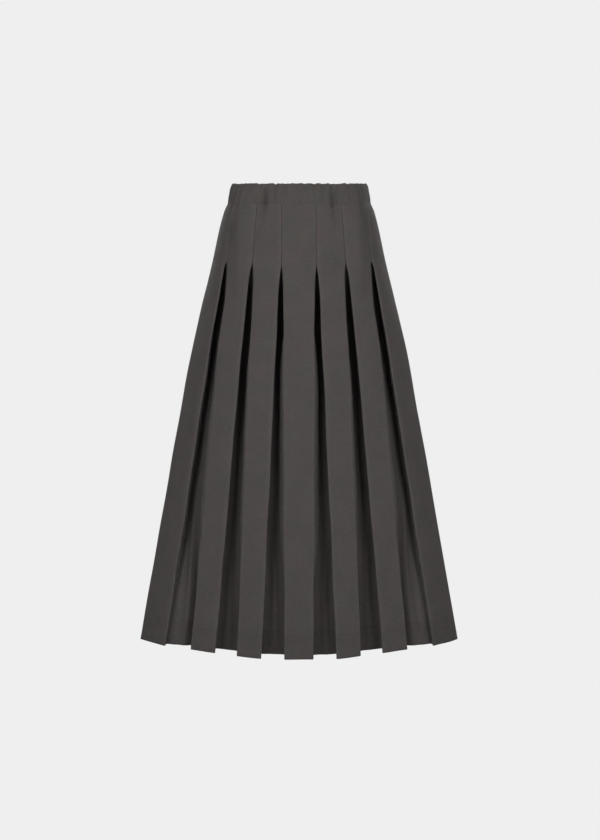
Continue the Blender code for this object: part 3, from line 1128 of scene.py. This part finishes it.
class SkirtStudio(bpy.types.PropertyGroup):
    """The camera, the lamps and the backdrop."""

    camera_side: length_setting(
        "Camera side", "How far the camera stands to the right of the middle", 0.0017, -1.0, 1.0
    )
    camera_distance: FloatProperty(
        name="Camera distance", description="From the camera to the middle of the waist",
        default=3.8, min=0.5, max=20.0, unit="LENGTH",
    )
    camera_pitch: FloatProperty(
        name="Camera pitch", description="How far the camera looks down",
        default=math.radians(6.03), min=-1.5, max=1.5, subtype="ANGLE",
    )
    focal_length: FloatProperty(
        name="Focal length", description="On a frame 36 mm high", default=91.76,
        min=10.0, max=300.0, subtype="DISTANCE_CAMERA",
    )
    lamp_power: FloatProperty(
        name="Lamp power", description="Power of each main lamp", default=31.0, min=0.0,
        subtype="POWER",
    )
    room_light: FloatProperty(
        name="Room light", description="Strength of the even light from all round", default=0.004,
        min=0.0, max=10.0,
    )
    backdrop: FloatProperty(
        name="Backdrop", description="Brightness of the pale backdrop and floor", default=0.863,
        min=0.0, max=2.0,
    )


class SKIRT_OT_panels(bpy.types.Operator):
    """Make the pleated front and back of the skirt"""

    bl_idname = "skirt.panels"
    bl_label = "Front and back panels"

    def execute(self, context):
        settings = context.scene.skirt_cloth
        cloth = cloth_material("charcoal_weave", settings.skirt_colour)
        for name, is_front, node in (
            ("front_cloth", True, "front_panel"),
            ("back_cloth", False, "back_panel"),
        ):
            panel, top, hem, length = make_panel(name, is_front, cloth)
            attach(panel, "root")
            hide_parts(node)
            (top + hem) / 2 * (length - settings.hem_turn_up) + hem * settings.hem_turn_up
        return {"FINISHED"}


class SKIRT_OT_waistband(bpy.types.Operator):
    """Make the waistband's gathered casing"""

    bl_idname = "skirt.waistband"
    bl_label = "Waistband"

    def execute(self, context):
        settings = context.scene.skirt_cloth
        cloth = cloth_material("charcoal_weave_band", settings.band_colour)
        band, width, length = make_waistband("waistband_casing", cloth)
        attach(band, "root")
        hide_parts("waistband")
        return {"FINISHED"}


def add_lamp(name, azimuth, height, size, power):
    """A soft lamp at this azimuth from the front, in degrees, turned to the middle of the skirt."""
    turned = math.radians(azimuth)
    place = Vector((LAMP_REACH * math.sin(turned), -LAMP_REACH * math.cos(turned), height))
    lamp = bpy.data.lights.new(name, "AREA")
    lamp.shape = "SQUARE"
    lamp.size = size
    lamp.energy = power
    holder = add_object(name, lamp)
    holder.location = place
    holder.rotation_euler = (LAMP_TARGET - place).to_track_quat("-Z", "Y").to_euler()
    holder.visible_camera = False


def add_backdrop(brightness):
    """A pale floor that curves up into walls and a ceiling all round, seen but giving no light."""
    shell = bmesh.new()
    bmesh.ops.create_uvsphere(shell, u_segments=64, v_segments=32, radius=BACKDROP_RADIUS)
    for corner in shell.verts:
        corner.co.z = max(corner.co.z, FLOOR_HEIGHT)
    bmesh.ops.reverse_faces(shell, faces=shell.faces)
    mesh = bpy.data.meshes.new("backdrop")
    shell.to_mesh(mesh)
    shell.free()
    mesh.shade_smooth()
    material = bpy.data.materials.new("pale_backdrop")
    bench = Bench(material)
    pale = (brightness, brightness, brightness, 1.0)
    glow = bench.node("ShaderNodeEmission", {}, {"Color": pale, "Strength": 1.0})
    bench.node("ShaderNodeOutputMaterial", {}, {"Surface": glow})
    mesh.materials.append(material)
    backdrop = add_object("backdrop", mesh)
    backdrop.visible_diffuse = False
    backdrop.visible_glossy = False
    backdrop.visible_shadow = False


class SKIRT_OT_studio(bpy.types.Operator):
    """Make the backdrop, the lamps and the camera"""

    bl_idname = "skirt.studio"
    bl_label = "Studio"

    def execute(self, context):
        scene = context.scene
        studio = scene.skirt_studio
        scene.view_settings.view_transform = "Standard"
        add_backdrop(studio.backdrop)
        for name, azimuth, height, size, share in LAMPS:
            for side in (-1, 1):
                label = f"{name}_{'left' if side < 0 else 'right'}"
                add_lamp(label, side * azimuth, height, size, studio.lamp_power * share)

        world = bpy.data.worlds.new("studio_room")
        world.use_nodes = True
        background = world.node_tree.nodes["Background"]
        background.inputs["Color"].default_value = (1.0, 1.0, 1.0, 1.0)
        background.inputs["Strength"].default_value = studio.room_light
        scene.world = world

        camera = bpy.data.cameras.new("camera")
        camera.lens = studio.focal_length
        camera.sensor_width = 36.0
        camera.dof.use_dof = False
        holder = add_object("camera", camera)
        holder.location = (studio.camera_side, -studio.camera_distance, 0.0)
        holder.rotation_euler = (math.pi / 2 - studio.camera_pitch, 0.0, 0.0)
        scene.camera = holder
        return {"FINISHED"}


class SKIRT_PT_sidebar(bpy.types.Panel):
    """The skirt's pieces and settings in the 3D view's sidebar"""

    bl_label = "Pleated Skirt"
    bl_idname = "SKIRT_PT_sidebar"
    bl_space_type = "VIEW_3D"
    bl_region_type = "UI"
    bl_category = "Skirt"

    def draw(self, context):
        for operator in OPERATORS:
            self.layout.operator(operator.bl_idname)
        for group in (context.scene.skirt_cloth, context.scene.skirt_studio):
            box = self.layout.box()
            for name in group.__annotations__:
                box.prop(group, name)


OPERATORS = (SKIRT_OT_waistband, SKIRT_OT_panels, SKIRT_OT_studio)
CLASSES = (SkirtCloth, SkirtStudio, *OPERATORS, SKIRT_PT_sidebar)


def register():
    for each in CLASSES:
        bpy.utils.register_class(each)
    bpy.types.Scene.skirt_cloth = PointerProperty(type=SkirtCloth)
    bpy.types.Scene.skirt_studio = PointerProperty(type=SkirtStudio)


def unregister():
    del bpy.types.Scene.skirt_studio
    del bpy.types.Scene.skirt_cloth
    for each in reversed(CLASSES):
        bpy.utils.unregister_class(each)


def main():
    register()
    bpy.ops.skirt.waistband()
    bpy.ops.skirt.panels()
    bpy.ops.skirt.studio()


if __name__ == "__main__":
    main()
